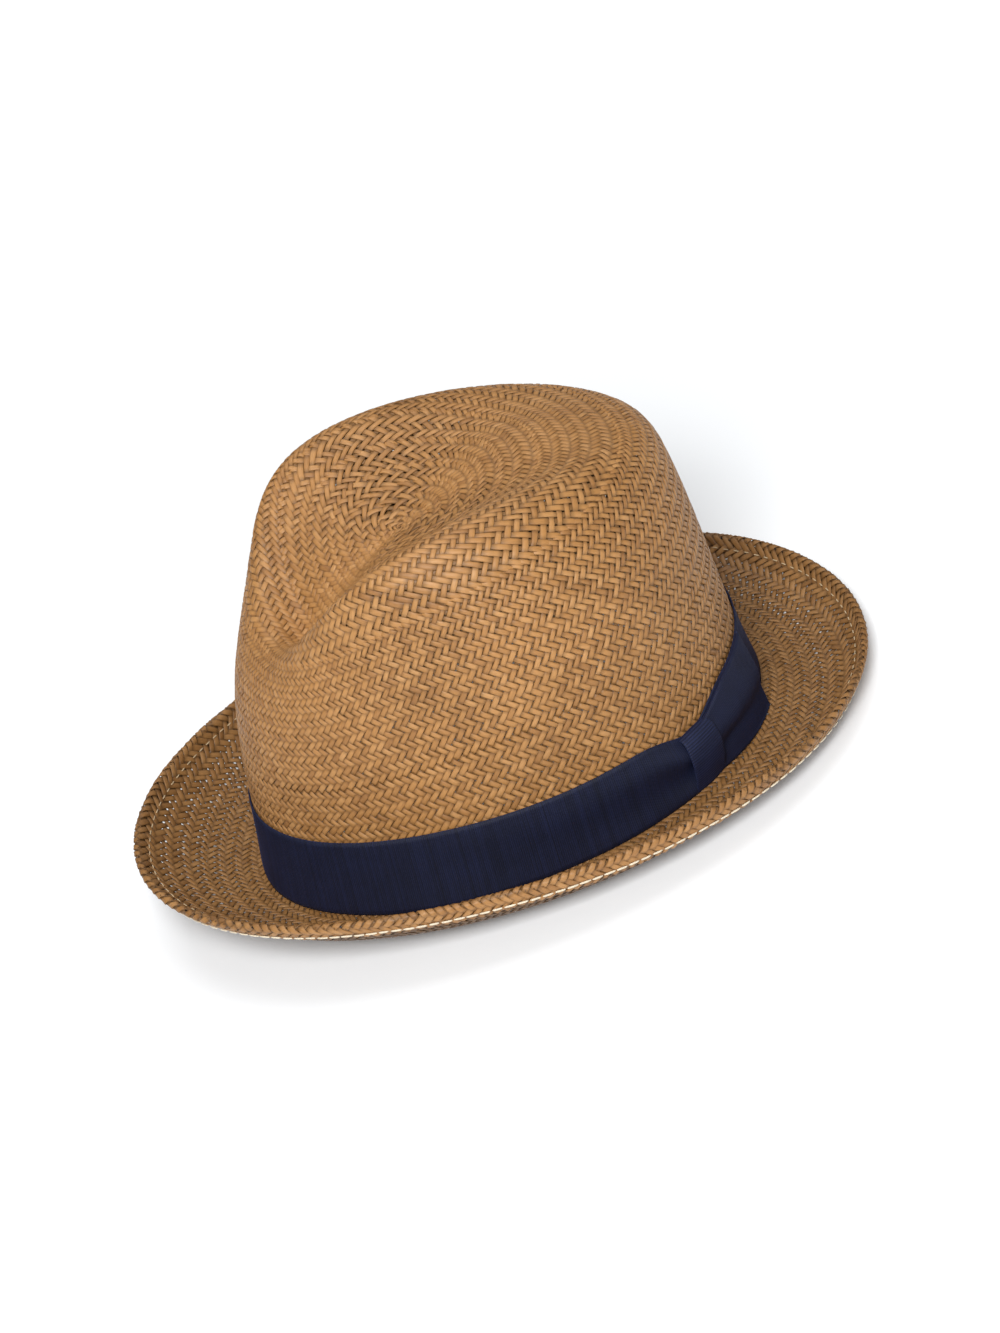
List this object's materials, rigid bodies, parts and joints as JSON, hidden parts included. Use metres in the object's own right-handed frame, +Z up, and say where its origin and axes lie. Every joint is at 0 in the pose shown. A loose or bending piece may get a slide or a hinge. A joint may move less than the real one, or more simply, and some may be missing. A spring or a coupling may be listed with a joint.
{
  "type": "straw fedora hat",
  "caption": "Short-brim straw fedora with a creased, front-pinched crown, a turned-up stitched brim and a navy grosgrain band with a flat side bow.",
  "frame": {"origin": "centre of the hat's box in plan, on the surface it rests on", "axes": "+Z up, front of the hat toward -Y, wearer's left (the bow side) toward +X"},
  "size_m": [0.2376, 0.303, 0.1438],
  "materials": {
    "straw": "tan paper straw, 2/2 twill weave, soft sheen",
    "wire": "drawn steel brim wire",
    "ferrule": "crimped brass sleeve",
    "hem_thread": "cream cotton thread",
    "grosgrain": "navy grosgrain ribbon, fine cross ribs",
    "grosgrain_bow": "navy grosgrain ribbon, doubled",
    "grosgrain_keeper": "navy grosgrain ribbon, ribs turned across",
    "sweatband_cloth": "ecru cotton twill",
    "reed": "extruded reed cord",
    "sweatband_thread": "cotton thread",
    "bow_ribbon": "narrow navy ribbon",
    "label_cloth": "white woven tape, blank",
    "label_thread": "polyester thread"
  },
  "bodies": {
    "root": {"straw_body": "straw", "brim_wire": "wire", "brim_wire_ferrule": "ferrule", "hem_stitching": "hem_thread", "hat_band": "grosgrain", "bow_wing": "grosgrain_bow", "bow_keeper": "grosgrain_keeper", "sweatband": "sweatband_cloth", "sweatband_reed": "reed", "sweatband_stitching": "sweatband_thread", "sweatband_bow": "bow_ribbon", "size_label": "label_cloth", "size_label_stitches": "label_thread"}
  },
  "joints": []
}
